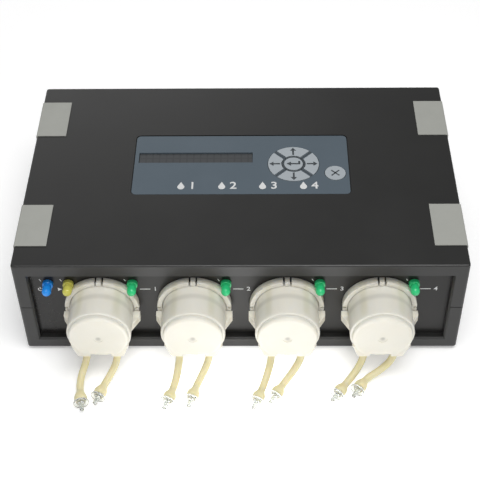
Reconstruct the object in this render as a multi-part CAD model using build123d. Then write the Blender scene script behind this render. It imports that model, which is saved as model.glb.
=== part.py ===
from build123d import *
import math
import os

# A four-channel dosing pump: a desk case with four peristaltic heads on its front panel.
# Millimetres. +X right, +Y to the back, +Z up. The origin is on the table, under the middle of the pump.

# ---- case ----
CASE_WIDTH = 240.0
CASE_DEPTH = 150.0
CASE_HEIGHT = 66.0
FOOT_HEIGHT = 2.0
FOOT_RADIUS = 6.0
WALL = 3.0
CASE_FRONT = -64.0
CASE_BACK = CASE_FRONT + CASE_DEPTH
CASE_BOTTOM = FOOT_HEIGHT
CASE_TOP = CASE_BOTTOM + CASE_HEIGHT
SEAM_HEIGHT = CASE_BOTTOM + CASE_HEIGHT / 2
SEAM_GROOVE = 0.4
CORNER_RADIUS = 1.6
EDGE_RADIUS = 1.0
FRAME_DEPTH = 4.0
FRAME_SIDE = 8.0
FRAME_BELOW = 7.5
FRAME_ABOVE = 8.8
FRAME_BEVEL = 1.0

# ---- front and rear panels ----
PANEL_THICKNESS = 3.0
PANEL_FRONT = CASE_FRONT + FRAME_DEPTH
PANEL_BEHIND = PANEL_FRONT + PANEL_THICKNESS
REAR_PANEL_FACE = CASE_BACK - FRAME_DEPTH
PANEL_SLACK = 0.2
RAIL_THICKNESS = 1.6
RAIL_HEIGHT = 3.0

# ---- corner pads ----
PAD_WIDTH = 17.2
PAD_THICKNESS = 2.0
PAD_PROUD = 0.4
PAD_DROP = 15.0
PAD_RANGES = ((-49.4, -18.0), (40.5, 71.5))

# ---- keypad ----
OVERLAY_X = (-61.3, 61.3)
OVERLAY_Y = (-9.5, 41.0)
OVERLAY_CORNER = 3.0
OVERLAY_DEPTH = 1.2
OVERLAY_THICKNESS = 0.9
OVERLAY_GAP = 0.45
DISPLAY_X = (-58.6, 6.5)
DISPLAY_Y = (17.3, 26.0)
DPAD_CENTRE = (29.7, 15.9)
DPAD_RADIUS = 14.4
DPAD_INNER = 6.9
DPAD_GAP = 1.2
ENTER_RADIUS = 5.3
ESCAPE_CENTRE = (53.1, 8.1)
ESCAPE_RADIUS = 5.8
KEY_CLEARANCE = 0.3
KEY_TRAVEL = 0.3
KEY_THICKNESS = 0.6
KEY_TOP = CASE_TOP - 0.1
KEY_STEM_RADIUS = 1.6
KEY_STEM_END = CASE_TOP - 6.8
SWITCH_TOP = KEY_STEM_END - KEY_TRAVEL - 0.1

# ---- pump heads ----
HEAD_XS = (-75.0, -25.0, 25.0, 75.0)
HEAD_AXIS_Z = SEAM_HEIGHT
FLANGE_RADIUS = 20.0
FLANGE_PROUD = 4.0
FLANGE_BORE = 17.45
MOUNT_BASE = 1.5
COVER_RADIUS = 17.1
COVER_BORE = 15.2
CAP_RADIUS = 15.9
CAP_THICKNESS = 3.0
CAP_FRONT = CASE_FRONT - 22.0
CAP_STEP = CAP_FRONT + CAP_THICKNESS
CAP_FLAT = 13.3
CAVITY_FRONT = CAP_FRONT + 2.4
COVER_BACK = PANEL_FRONT - MOUNT_BASE - 0.3
LUG_INNER = 5.6
LUG_OUTER = 12.2
LUG_DROP = 16.0
LUG_ROOT = (15.5, -7.2)
LUG_Y = (CAP_FRONT + 1.2, CAP_FRONT + 10.8)

# ---- tubing ----
TUBE_RADIUS = 2.0
TUBE_LUMEN = 1.0
OUTLET_X = 8.2
OUTLET_Y = CAP_FRONT + 6.0
TAIL_TOP = HEAD_AXIS_Z - 14.0
SQUEEZED_INNER = 13.25
SQUEEZED_OUTER = 15.15
SQUEEZED_WIDTH = 5.7
TUBE_OPENING_DEG = 25.9
CONNECTOR_DISC_RADIUS = 4.25
CONNECTOR_DISC_THICKNESS = 1.0
CONNECTOR_TIP_RADIUS = 1.25
CONNECTOR_TIP_LENGTH = 4.0
CONNECTOR_NOSE_LENGTH = 0.6
CONNECTOR_NOSE_RADIUS = 0.95
CONNECTOR_LUMEN = 0.6

# ---- rotor ----
ROTOR_MIDDLE = CAP_FRONT + 7.4
ROLLER_PITCH_RADIUS = 8.9
ROLLER_RADIUS = 4.1
ROLLER_LENGTH = 6.4
ROLLER_BORE = 1.25
ROLLER_PIN = 1.2
ROTOR_DISC_RADIUS = 11.0
ROTOR_GAP = 0.3
ROTOR_FRONT_THICKNESS = 1.2
ROTOR_BACK_THICKNESS = 1.5
ROTOR_HUB = 3.4
SHAFT_RADIUS = 2.5
SHAFT_BORE = 2.55
SHAFT_END = PANEL_BEHIND + 7.0
ROLLER_COUNT = 3

# ---- gear motors ----
MOTOR_BOSS = 6.0
GEARBOX_RADIUS = 16.5
GEARBOX_LENGTH = 13.0
MOTOR_RADIUS = 13.8
MOTOR_LENGTH = 38.0
MOTOR_SCREW_X = 11.0
SCREW_RADIUS = 1.45
SCREW_HOLE = 1.6
SCREW_HEAD = 2.7

# ---- indicator lamps ----
LED_RADIUS = 2.5
LED_WAIST = 2.1
LED_WAIST_LENGTH = 1.6
LED_FLANGE = 2.9
LED_FLANGE_THICKNESS = 2.2
LED_PROUD = 8.6
LED_LEG_HOLE = 2.0
LED_LEG = 0.5
LED_LEG_LENGTH = 9.0
LED_HEIGHT = HEAD_AXIS_Z + 15.6
POWER_LED_X = -102.8
RUNNING_LED_X = -91.8
CHANNEL_LED_OFFSET = 17.4

# ---- power inlet ----
INLET_X = 90.0
INLET_FLANGE = 5.5
INLET_PROUD = 1.5
INLET_BODY = 4.0
INLET_LENGTH = 14.0
INLET_BORE = 2.75
INLET_BORE_DEPTH = 9.5
INLET_PIN = 1.05

# ---- fastenings inside the case ----
SCREW_POSTS = ((-108.0, -44.0), (108.0, -44.0), (-108.0, 64.0), (108.0, 64.0))
FOOT_PLACES = ((-92.0, -50.0), (92.0, -50.0), (-92.0, 72.0), (92.0, 72.0))
POST_RADIUS = 4.5
CASE_SCREW_HEAD_TOP = CASE_BOTTOM + 4.0
CASE_SCREW_HEAD_HEIGHT = 2.2
CASE_SCREW_END = SEAM_HEIGHT + 10.0
BOARD_THICKNESS = 1.6

# Each tail's own bends, as steps from the mouth of its lug: X, Y, Z. Heads run left to right,
# and in each head the left tail comes first. The first step lies straight under the lug.
TAIL_ROUTES = (
    (((0, 0, -5.8), (-1.7, -2.8, -11.1), (-3.7, -8.2, -14.6), (-3.9, -16.2, -16.0), (-2.3, -24.0, -16.3)),
     ((0, 0, -5.8), (-1.4, -2.7, -11.1), (-4.3, -7.4, -14.6), (-7.6, -13.8, -16.0), (-9.7, -20.0, -16.3))),
    (((0, 0, -5.8), (-0.6, -2.9, -11.2), (-1.6, -8.5, -14.6), (-3.3, -16.0, -16.0), (-5.8, -23.0, -16.3)),
     ((0, 0, -5.8), (-1.5, -2.6, -11.1), (-4.3, -7.6, -14.5), (-7.5, -14.5, -16.0), (-9.5, -21.6, -16.3))),
    (((0, 0, -5.8), (-0.9, -2.8, -11.1), (-2.7, -8.2, -14.6), (-5.2, -15.6, -16.0), (-8.0, -23.0, -16.3)),
     ((0, 0, -5.8), (-2.0, -2.4, -11.1), (-6.0, -6.9, -14.6), (-10.7, -13.1, -16.0), (-14.5, -19.6, -16.3))),
    (((0, 0, -5.8), (-1.8, -2.4, -11.1), (-5.5, -6.8, -14.6), (-10.3, -12.6, -16.0), (-14.6, -18.4, -16.3)),
     ((0, 0, -5.8), (-2.9, -2.0, -11.0), (-8.6, -4.9, -14.6), (-16.0, -9.4, -16.0), (-19.9, -15.6, -16.3))),
)


def block(x, y, z):
    """A box between two values of each axis."""
    middle = Pos((x[0] + x[1]) / 2, (y[0] + y[1]) / 2, (z[0] + z[1]) / 2)
    return middle * Box(x[1] - x[0], y[1] - y[0], z[1] - z[0])


def rod_y(radius, y, x=0.0, z=0.0):
    """A round bar along Y."""
    return Pos(x, (y[0] + y[1]) / 2, z) * Rot(90, 0, 0) * Cylinder(radius, y[1] - y[0])


def rod_z(radius, z, x=0.0, y=0.0):
    """A round bar along Z."""
    return Pos(x, y, (z[0] + z[1]) / 2) * Cylinder(radius, z[1] - z[0])


def at_head(shape, head_x):
    """Moves a shape drawn about the Y axis to a head's axis."""
    return Pos(head_x, 0, HEAD_AXIS_Z) * shape


def save(shape, node):
    """Writes one sub-part under its own name."""
    export_step(shape, f"parts/{node}.step")


# ---- case ----

def frame_opening():
    """The lowest and highest X and Z of the opening in the front and rear frames."""
    half = CASE_WIDTH / 2 - FRAME_SIDE
    return (-half, half), (CASE_BOTTOM + FRAME_BELOW, CASE_TOP - FRAME_ABOVE)


def whole_case():
    """Both halves of the case in one piece, open at the front and back."""
    half = CASE_WIDTH / 2
    case = block((-half, half), (CASE_FRONT, CASE_BACK), (CASE_BOTTOM, CASE_TOP))
    case = fillet(case.edges().filter_by(Axis.Z), CORNER_RADIUS)
    rims = case.faces().sort_by(Axis.Z)[-1].edges() + case.faces().sort_by(Axis.Z)[0].edges()
    case = fillet(rims, EDGE_RADIUS)
    inside = half - WALL
    heights = (CASE_BOTTOM + WALL, CASE_TOP - WALL)
    case -= block((-inside, inside), (PANEL_FRONT, REAR_PANEL_FACE), heights)
    x, z = frame_opening()
    case -= block(x, (CASE_FRONT - 1, CASE_BACK + 1), z)
    for face in (CASE_FRONT, CASE_BACK):
        rim = [e for e in case.edges() if is_opening_edge(e, face, x, z)]
        case = chamfer(rim, FRAME_BEVEL)
    return case


def is_opening_edge(edge, face_y, x, z):
    """Tells the edges of a frame's opening from the case's outer edges."""
    box = edge.bounding_box()
    flat = abs(box.min.Y - face_y) < 0.01 and abs(box.max.Y - face_y) < 0.01
    within_x = box.min.X > x[0] - 0.01 and box.max.X < x[1] + 0.01
    within_z = box.min.Z > z[0] - 0.01 and box.max.Z < z[1] + 0.01
    return flat and within_x and within_z


def panel_rails(z):
    """The ribs that hold the front and rear panels against their frames."""
    half = CASE_WIDTH / 2 - WALL
    front = PANEL_BEHIND + PANEL_SLACK
    back = REAR_PANEL_FACE - PANEL_THICKNESS - PANEL_SLACK
    rails = block((-half, half), (front, front + RAIL_THICKNESS), z)
    return rails + block((-half, half), (back - RAIL_THICKNESS, back), z)


def pad_shape(side, y, inset=0.0):
    """One corner pad: a strip on the top that turns down over the side."""
    outer = CASE_WIDTH / 2 + PAD_PROUD
    top = CASE_TOP + PAD_PROUD
    inner = CASE_WIDTH / 2 - PAD_WIDTH
    strip = block((inner, outer), y, (top - PAD_THICKNESS, top))
    strip += block((outer - PAD_THICKNESS, outer), y, (CASE_TOP - PAD_DROP, top))
    edge = [e for e in strip.edges().filter_by(Axis.Y) if e.center().X > outer - 0.1 and e.center().Z > top - 0.1]
    strip = fillet(edge, EDGE_RADIUS + inset)
    return strip if side > 0 else mirror(strip, Plane.YZ)


def corner_pads():
    """The four pads, two on each side."""
    return Compound([pad_shape(side, y) for side in (-1, 1) for y in PAD_RANGES])


def dpad_sector(angle, grow=0.0):
    """The outline of one arrow key, turned to its side of the pad."""
    ring = Circle(DPAD_RADIUS + grow) - Circle(DPAD_INNER - grow)
    apex = (DPAD_GAP - grow) * math.sqrt(2)
    reach = 2 * DPAD_RADIUS
    wedge = Polygon((0, apex), (-reach, apex + reach), (reach, apex + reach), align=None)
    return Rot(0, 0, angle) * (ring & wedge)


def key_outlines(grow=0.0):
    """Every key's name with the centre of its stem and its outline."""
    x, y = DPAD_CENTRE
    middle = (DPAD_RADIUS + DPAD_INNER) / 2
    outlines = {}
    for name, angle in (("key_up", 0), ("key_left", 90), ("key_down", 180), ("key_right", 270)):
        turn = math.radians(angle + 90)
        stem = (x + middle * math.cos(turn), y + middle * math.sin(turn))
        outlines[name] = (stem, Pos(x, y) * dpad_sector(angle, grow))
    outlines["key_enter"] = (DPAD_CENTRE, Pos(x, y) * Circle(ENTER_RADIUS + grow))
    outlines["key_escape"] = (ESCAPE_CENTRE, Pos(*ESCAPE_CENTRE) * Circle(ESCAPE_RADIUS + grow))
    return outlines


def overlay_outline(gap=0.0):
    """The keypad recess's outline as a flat face, or the sheet's with a gap all round."""
    width = OVERLAY_X[1] - OVERLAY_X[0] - 2 * gap
    height = OVERLAY_Y[1] - OVERLAY_Y[0] - 2 * gap
    middle = Pos((OVERLAY_X[0] + OVERLAY_X[1]) / 2, (OVERLAY_Y[0] + OVERLAY_Y[1]) / 2)
    return middle * RectangleRounded(width, height, OVERLAY_CORNER - gap)


def board_posts(places, top, board_top, radius=2.0):
    """Short round posts that a board hangs from or stands on."""
    posts = [rod_z(radius, (board_top, top), x, y) for x, y in places]
    return Compound(posts)


def corners_of(x, y, inset):
    """The four places at a board's corners where its posts stand."""
    return [(cx, cy) for cx in (x[0] + inset, x[1] - inset) for cy in (y[0] + inset, y[1] - inset)]


def top_shell(case):
    """The upper half of the case, with the keypad's recess and the display's window."""
    half = CASE_WIDTH
    shell = case & block((-half, half), (-half, half), (SEAM_HEIGHT, CASE_TOP + 1))
    shell -= seam_groove()
    under = CASE_TOP - WALL
    for x, y in SCREW_POSTS:
        shell += rod_z(POST_RADIUS, (SEAM_HEIGHT, under), x, y)
        shell -= rod_z(SCREW_RADIUS + 0.05, (SEAM_HEIGHT - 1, CASE_SCREW_END + 2), x, y)
    shell += panel_rails((under - RAIL_HEIGHT, under))
    for place in corners_of(DISPLAY_BOARD_X, DISPLAY_BOARD_Y, 2.5):
        shell += rod_z(2.0, (DISPLAY_BOARD_TOP, under), *place)
    for place in corners_of(KEY_BOARD_X, KEY_BOARD_Y, 2.5):
        shell += rod_z(2.0, (KEY_BOARD_TOP, under), *place)
    floor = CASE_TOP - OVERLAY_DEPTH
    shell -= Pos(0, 0, floor) * extrude(overlay_outline(), OVERLAY_DEPTH + 1)
    shell -= block(DISPLAY_X, DISPLAY_Y, (under - 1, CASE_TOP))
    for stem, _ in key_outlines().values():
        shell -= rod_z(KEY_STEM_RADIUS + KEY_CLEARANCE, (under - 1, CASE_TOP), *stem)
    for side in (-1, 1):
        for y in PAD_RANGES:
            shell -= pad_shape(side, y)
    return shell


def seam_groove():
    """The thin line that shows where the two halves meet."""
    x = CASE_WIDTH / 2
    z = (SEAM_HEIGHT, SEAM_HEIGHT + SEAM_GROOVE)
    ring = block((-x - 1, x + 1), (CASE_FRONT - 1, CASE_BACK + 1), z)
    inner = block((-x + SEAM_GROOVE, x - SEAM_GROOVE), (CASE_FRONT + SEAM_GROOVE, CASE_BACK - SEAM_GROOVE), z)
    return ring - inner


def bottom_shell(case):
    """The lower half of the case, with the screw posts and the control board's posts."""
    half = CASE_WIDTH
    shell = case & block((-half, half), (-half, half), (CASE_BOTTOM - 1, SEAM_HEIGHT))
    floor = CASE_BOTTOM + WALL
    for x, y in SCREW_POSTS:
        shell += rod_z(POST_RADIUS, (floor, SEAM_HEIGHT), x, y)
        shell -= rod_z(SCREW_HOLE, (CASE_BOTTOM - 1, SEAM_HEIGHT + 1), x, y)
        shell -= rod_z(SCREW_HEAD + 0.3, (CASE_BOTTOM - 1, CASE_SCREW_HEAD_TOP), x, y)
    shell += panel_rails((floor, floor + RAIL_HEIGHT))
    for place in corners_of(CONTROL_BOARD_X, CONTROL_BOARD_Y, 4.0):
        shell += rod_z(3.0, (floor, CONTROL_BOARD_BOTTOM), *place)
    return shell


def panel_blank(y):
    """A plain front or rear panel."""
    x = CASE_WIDTH / 2 - WALL - PANEL_SLACK
    z = (CASE_BOTTOM + WALL + PANEL_SLACK, CASE_TOP - WALL - PANEL_SLACK)
    return block((-x, x), y, z)


def led_places():
    """The X of every lamp, by node name."""
    channels = [x + CHANNEL_LED_OFFSET for x in HEAD_XS]
    return {"led_power": [POWER_LED_X], "led_running": [RUNNING_LED_X], "channel_leds": channels}


def front_panel():
    """The black panel that carries the motors, the heads and the lamps."""
    y = (PANEL_FRONT, PANEL_BEHIND)
    through = (PANEL_FRONT - 1, PANEL_BEHIND + 1)
    panel = panel_blank(y)
    for x in HEAD_XS:
        panel -= rod_y(MOTOR_BOSS + 0.3, through, x, HEAD_AXIS_Z)
        for side in (-MOTOR_SCREW_X, MOTOR_SCREW_X):
            panel -= rod_y(SCREW_HOLE, through, x + side, HEAD_AXIS_Z)
    for places in led_places().values():
        for x in places:
            panel -= rod_y(LED_LEG_HOLE, through, x, LED_HEIGHT)
    return panel


def rear_panel():
    """The plain panel at the back, with the power inlet's hole."""
    panel = panel_blank((REAR_PANEL_FACE - PANEL_THICKNESS, REAR_PANEL_FACE))
    return panel - rod_y(INLET_BODY + 0.1, (REAR_PANEL_FACE - 9, REAR_PANEL_FACE + 1), INLET_X, HEAD_AXIS_Z)


def rubber_feet():
    """Four stick-on feet."""
    foot = rod_z(FOOT_RADIUS, (0, FOOT_HEIGHT))
    foot = fillet(foot.edges().sort_by(Axis.Z)[0], 0.5)
    return Compound([Pos(x, y, 0) * foot for x, y in FOOT_PLACES])


def case_screws():
    """The four long screws that hold the two halves together."""
    head_bottom = CASE_SCREW_HEAD_TOP - CASE_SCREW_HEAD_HEIGHT
    screws = []
    for x, y in SCREW_POSTS:
        screw = rod_z(SCREW_HEAD, (head_bottom, CASE_SCREW_HEAD_TOP), x, y)
        screw -= block((x - 2, x + 2), (y - 0.35, y + 0.35), (head_bottom - 1, head_bottom + 0.8))
        screw -= block((x - 0.35, x + 0.35), (y - 2, y + 2), (head_bottom - 1, head_bottom + 0.8))
        screws.append(screw + rod_z(SCREW_RADIUS, (CASE_SCREW_HEAD_TOP, CASE_SCREW_END), x, y))
    return Compound(screws)


# ---- keypad, display and boards ----

DISPLAY_BOARD_X = (-66.0, 14.0)
DISPLAY_BOARD_Y = (3.65, 39.65)
DISPLAY_BOARD_TOP = CASE_TOP - 9.0
DISPLAY_FRAME_X = (-61.65, 9.55)
DISPLAY_FRAME_Y = (9.55, 33.75)
KEY_BOARD_X = (15.2, 62.0)
KEY_BOARD_Y = (-3.0, 33.0)
KEY_BOARD_TOP = CASE_TOP - 10.8
CONTROL_BOARD_X = (-70.0, 70.0)
CONTROL_BOARD_Y = (4.0, 72.0)
CONTROL_BOARD_BOTTOM = CASE_BOTTOM + WALL + 4.0


def keypad_overlay():
    """The printed sheet round the keys, with the display's window cut out of it."""
    floor = CASE_TOP - OVERLAY_DEPTH
    outline = overlay_outline(OVERLAY_GAP)
    for _, hole in key_outlines(KEY_CLEARANCE).values():
        outline -= hole
    sheet = Pos(0, 0, floor) * extrude(outline, OVERLAY_THICKNESS)
    return sheet - block(DISPLAY_X, DISPLAY_Y, (floor - 1, CASE_TOP))


def key(stem, outline):
    """One key: a flat cap with the stem that presses its switch."""
    cap = Pos(0, 0, KEY_TOP - KEY_THICKNESS) * extrude(outline, KEY_THICKNESS)
    return cap + rod_z(KEY_STEM_RADIUS, (KEY_STEM_END, KEY_TOP - KEY_THICKNESS), *stem)


def lcd_module():
    """The display: a board, a metal frame and the glass that fills the window."""
    board = block(DISPLAY_BOARD_X, DISPLAY_BOARD_Y, (DISPLAY_BOARD_TOP - BOARD_THICKNESS, DISPLAY_BOARD_TOP))
    frame_top = CASE_TOP - WALL - 0.1
    frame = block(DISPLAY_FRAME_X, DISPLAY_FRAME_Y, (DISPLAY_BOARD_TOP, frame_top))
    x = (DISPLAY_X[0] + 0.2, DISPLAY_X[1] - 0.2)
    y = (DISPLAY_Y[0] + 0.2, DISPLAY_Y[1] - 0.2)
    return board + frame + block(x, y, (frame_top, CASE_TOP - OVERLAY_DEPTH))


def keypad_board():
    """The board under the keys, with one push switch below each stem."""
    board = block(KEY_BOARD_X, KEY_BOARD_Y, (KEY_BOARD_TOP - BOARD_THICKNESS, KEY_BOARD_TOP))
    for (x, y), _ in key_outlines().values():
        body_top = SWITCH_TOP - 0.6
        board += block((x - 3, x + 3), (y - 3, y + 3), (KEY_BOARD_TOP, body_top))
        board += rod_z(1.7, (body_top, SWITCH_TOP), x, y)
    return board


def control_board():
    """The main board: controller chip, motor drivers, a capacitor and the motor terminals."""
    top = CONTROL_BOARD_BOTTOM + BOARD_THICKNESS
    board = block(CONTROL_BOARD_X, CONTROL_BOARD_Y, (CONTROL_BOARD_BOTTOM, top))
    board += block((-18, 18), (34, 44), (top, top + 2.4))
    for x in (-45, -15, 15, 45):
        board += block((x - 5, x + 5), (14, 22), (top, top + 1.8))
        board += block((x - 5, x + 5), (4.5, 11.5), (top, top + 8.5))
    board += rod_z(5.0, (top, top + 12.0), 54, 56)
    board += block((-58, -46), (52, 60), (top, top + 7.0))
    return board


# ---- indicator lamps and power inlet ----

def led(x):
    """One round lamp with its collar against the panel, a waist, and its legs through the panel."""
    tip = PANEL_FRONT - LED_PROUD
    collar_front = PANEL_FRONT - LED_FLANGE_THICKNESS
    collar = rod_y(LED_FLANGE, (collar_front, PANEL_FRONT))
    lamp = fillet(collar.faces().sort_by(Axis.Y)[0].edges(), 0.4)
    lamp += rod_y(LED_WAIST, (tip + LED_RADIUS, collar_front))
    lens = rod_y(LED_RADIUS, (tip + LED_RADIUS, collar_front - LED_WAIST_LENGTH))
    lamp += fillet(lens.faces().sort_by(Axis.Y)[-1].edges(), 0.3)
    lamp += Pos(0, tip + LED_RADIUS, 0) * Sphere(LED_RADIUS)
    for side in (-1.27, 1.27):
        leg_x = (side - LED_LEG / 2, side + LED_LEG / 2)
        lamp += block(leg_x, (PANEL_FRONT, PANEL_FRONT + LED_LEG_LENGTH), (-LED_LEG / 2, LED_LEG / 2))
    return Pos(x, 0, LED_HEIGHT) * lamp


def dc_inlet():
    """A round low-voltage inlet for a barrel plug, with its centre pin."""
    mouth = REAR_PANEL_FACE + INLET_PROUD
    bore_end = mouth - INLET_BORE_DEPTH
    inlet = rod_y(INLET_FLANGE, (REAR_PANEL_FACE, mouth))
    inlet += rod_y(INLET_BODY, (mouth - INLET_LENGTH, REAR_PANEL_FACE))
    inlet -= rod_y(INLET_BORE, (bore_end, mouth + 1))
    inlet += rod_y(INLET_PIN, (bore_end, mouth - 0.8))
    return at_head(inlet, INLET_X)


# ---- pump heads ----

def bar_of_flange(x, z, depth):
    """A cut through the head flange's rim, from the panel side to its front."""
    return block(x, (PANEL_FRONT - depth, PANEL_FRONT + 1), z)


def head_mount():
    """The flange that one head clips into, with its centre hole and notches."""
    front = PANEL_FRONT - FLANGE_PROUD
    mount = rod_y(FLANGE_RADIUS, (front, PANEL_FRONT))
    mount -= rod_y(FLANGE_BORE, (front - 1, PANEL_FRONT - MOUNT_BASE))
    mount -= rod_y(MOTOR_BOSS + 0.5, (front, PANEL_FRONT + 1))
    for side in (-1, 1):
        mount -= rod_y(SCREW_HOLE, (front, PANEL_FRONT + 1), side * MOTOR_SCREW_X)
        notch = sorted((side * (FLANGE_RADIUS - 1.8), side * (FLANGE_RADIUS + 1)))
        mount -= bar_of_flange(notch, (-0.8, 0.8), FLANGE_PROUD + 1)
        slit = (side * 1.8 - 0.5, side * 1.8 + 0.5)
        mount -= bar_of_flange(slit, (FLANGE_BORE - 1.0, FLANGE_RADIUS + 1), FLANGE_PROUD + 1)
    return mount


def head_mounts():
    """The four flanges on the front panel."""
    return Compound([at_head(head_mount(), x) for x in HEAD_XS])


def clip_arm(side):
    """A sloping snap tab on the side of a head's cover, just in front of the flange."""
    root = COVER_BORE + 0.2
    tip = FLANGE_RADIUS + 0.6
    back = CASE_FRONT - 0.5
    outline = Polygon((root, back), (tip, back), (tip, back - 3.0), (root, back - 12.0), align=None)
    arm = Pos(0, 0, -6.4) * extrude(outline, 4.6, dir=(0, 0, 1))
    return arm if side > 0 else mirror(arm, Plane.YZ)


def tube_lug(side):
    """The lug below one side of a head, flush with the barrel at its root and round at its corner."""
    outline = Polygon((LUG_INNER, -8.0), (LUG_INNER, -LUG_DROP), (LUG_OUTER, -LUG_DROP), LUG_ROOT, align=None)
    lug = extrude(Plane.XZ * outline, LUG_Y[1] - LUG_Y[0], dir=(0, -1, 0))
    corner = lug.edges().filter_by(Axis.Y).sort_by(Axis.Z)[:2].sort_by(Axis.X)[-1]
    lug = fillet(corner, 2.0)
    lug = fillet(lug.faces().sort_by(Axis.Y)[0].edges().sort_by(Axis.Z)[:2], 0.6)
    lug = Pos(0, LUG_Y[1], 0) * lug
    return lug if side > 0 else mirror(lug, Plane.YZ)


def head_cover():
    """One head's milky cover: a cup with two lugs for the tube's ends."""
    barrel = rod_y(COVER_RADIUS, (CAP_STEP, COVER_BACK))
    cover = fillet(barrel.faces().sort_by(Axis.Y)[0].edges(), 0.8)
    cap = rod_y(CAP_RADIUS, (CAP_FRONT, CAP_STEP + 1))
    cap -= block((-COVER_RADIUS, COVER_RADIUS), (CAP_FRONT - 1, CAP_STEP + 2), (-COVER_RADIUS, -CAP_FLAT))
    cover += fillet(cap.faces().sort_by(Axis.Y)[0].edges(), 1.5)
    for side in (-1, 1):
        cover += tube_lug(side)
        cover += clip_arm(side)
    cover -= rod_y(COVER_BORE, (CAVITY_FRONT, COVER_BACK + 1))
    for side in (-1, 1):
        cover -= rod_z(TUBE_RADIUS + 0.05, (-LUG_DROP - 1, -10.0), side * OUTLET_X, OUTLET_Y)
        window = sorted((side * (COVER_BORE - 1), side * (COVER_RADIUS + 1)))
        cover -= block(window, (CASE_FRONT - 3.2, CASE_FRONT - 1.6), (-1.5, 1.5))
    return cover - rod_y(2.5, (CAP_FRONT - 1, CAP_FRONT + 0.3))


def pump_tube():
    """The tube inside a head, squeezed flat along the rollers' path and round at its ends."""
    y = (ROTOR_MIDDLE - SQUEEZED_WIDTH / 2, ROTOR_MIDDLE + SQUEEZED_WIDTH / 2)
    loop = rod_y(SQUEEZED_OUTER, y) - rod_y(SQUEEZED_INNER, (y[0] - 1, y[1] + 1))
    drop = 2 * SQUEEZED_OUTER
    spread = drop * math.tan(math.radians(TUBE_OPENING_DEG))
    gap = Plane.XZ * Polygon((0, 0), (-spread, -drop), (spread, -drop), align=None)
    loop -= Pos(0, y[1] + 1, 0) * extrude(gap, SQUEEZED_WIDTH + 2)
    end = TAIL_TOP - HEAD_AXIS_Z
    for side in (-1, 1):
        loop += rod_z(TUBE_RADIUS, (end, end + 2.1), side * OUTLET_X, OUTLET_Y)
    return loop


def rotor():
    """The roller carrier: two discs, a hub, three pins and the shaft that the motor turns."""
    half = ROLLER_LENGTH / 2
    back = ROTOR_MIDDLE + half + ROTOR_GAP
    front = ROTOR_MIDDLE - half - ROTOR_GAP
    carrier = rod_y(ROTOR_DISC_RADIUS, (back, back + ROTOR_BACK_THICKNESS))
    carrier += rod_y(ROTOR_DISC_RADIUS, (front - ROTOR_FRONT_THICKNESS, front))
    carrier += rod_y(ROTOR_HUB, (front, back))
    for x, z in roller_places():
        carrier += rod_y(ROLLER_PIN, (front, back), x, z)
    return carrier + rod_y(SHAFT_RADIUS, (back, SHAFT_END))


def roller_places():
    """Where the three rollers stand round the shaft, the first one at the top."""
    places = []
    for number in range(ROLLER_COUNT):
        angle = math.radians(90 + 360 / ROLLER_COUNT * number)
        places.append((ROLLER_PITCH_RADIUS * math.cos(angle), ROLLER_PITCH_RADIUS * math.sin(angle)))
    return places


def roller(place):
    """One roller, free to turn on its pin."""
    y = (ROTOR_MIDDLE - ROLLER_LENGTH / 2, ROTOR_MIDDLE + ROLLER_LENGTH / 2)
    barrel = rod_y(ROLLER_RADIUS, y, *place)
    barrel = chamfer(barrel.edges(), 0.4)
    return barrel - rod_y(ROLLER_BORE, (y[0] - 1, y[1] + 1), *place)


def gear_motor():
    """One motor with its gearbox, whose boss carries the shaft through the panel."""
    gearbox_back = PANEL_BEHIND + GEARBOX_LENGTH
    motor = rod_y(GEARBOX_RADIUS, (PANEL_BEHIND, gearbox_back))
    motor += rod_y(MOTOR_RADIUS, (gearbox_back, gearbox_back + MOTOR_LENGTH))
    motor += rod_y(MOTOR_BOSS, (PANEL_FRONT - MOUNT_BASE, PANEL_BEHIND))
    motor -= rod_y(SHAFT_BORE, (PANEL_FRONT - MOUNT_BASE - 1, SHAFT_END + 1))
    for side in (-MOTOR_SCREW_X, MOTOR_SCREW_X):
        motor -= rod_y(SCREW_RADIUS + 0.05, (PANEL_BEHIND - 1, PANEL_BEHIND + 6), side)
    return motor


def motor_screws():
    """Two screws for each head, through its flange and the panel into the gearbox."""
    head_back = PANEL_FRONT - MOUNT_BASE
    screws = []
    for x in HEAD_XS:
        for side in (-MOTOR_SCREW_X, MOTOR_SCREW_X):
            screw = rod_y(SCREW_HEAD, (head_back - 1.8, head_back))
            screw -= block((-2, 2), (head_back - 3, head_back - 1.1), (-0.35, 0.35))
            screw += rod_y(SCREW_RADIUS, (head_back, PANEL_BEHIND + 5))
            screws.append(at_head(screw, x + side))
    return Compound(screws)


# ---- loose tube tails ----

def tail_points(head_x, side, steps):
    """The corners of one tail's route, from inside its lug to its connector."""
    start = Vector(head_x + side * OUTLET_X, OUTLET_Y, TAIL_TOP)
    return [start] + [start + Vector(*step) for step in steps]


def tail_radii(points):
    """The radius at each corner: the largest that its two runs allow."""
    radii = []
    for before, corner, after in zip(points, points[1:], points[2:]):
        turn = (corner - before).get_angle(after - corner)
        shorter = min((corner - before).length, (after - corner).length)
        radii.append(0.45 * shorter / math.tan(math.radians(turn / 2)))
    return radii


def tail(points):
    """One loose end of tube, as straight runs joined by round bends."""
    radii = tail_radii(points)
    path = FilletPolyline(*points, radius=radii)
    print("tail: radii", " ".join(f"{r:.1f}" for r in radii), f"length {path.length:.1f}")
    section = Plane(origin=path @ 0, z_dir=path % 0) * Circle(TUBE_RADIUS)
    return sweep(section, path)


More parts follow.
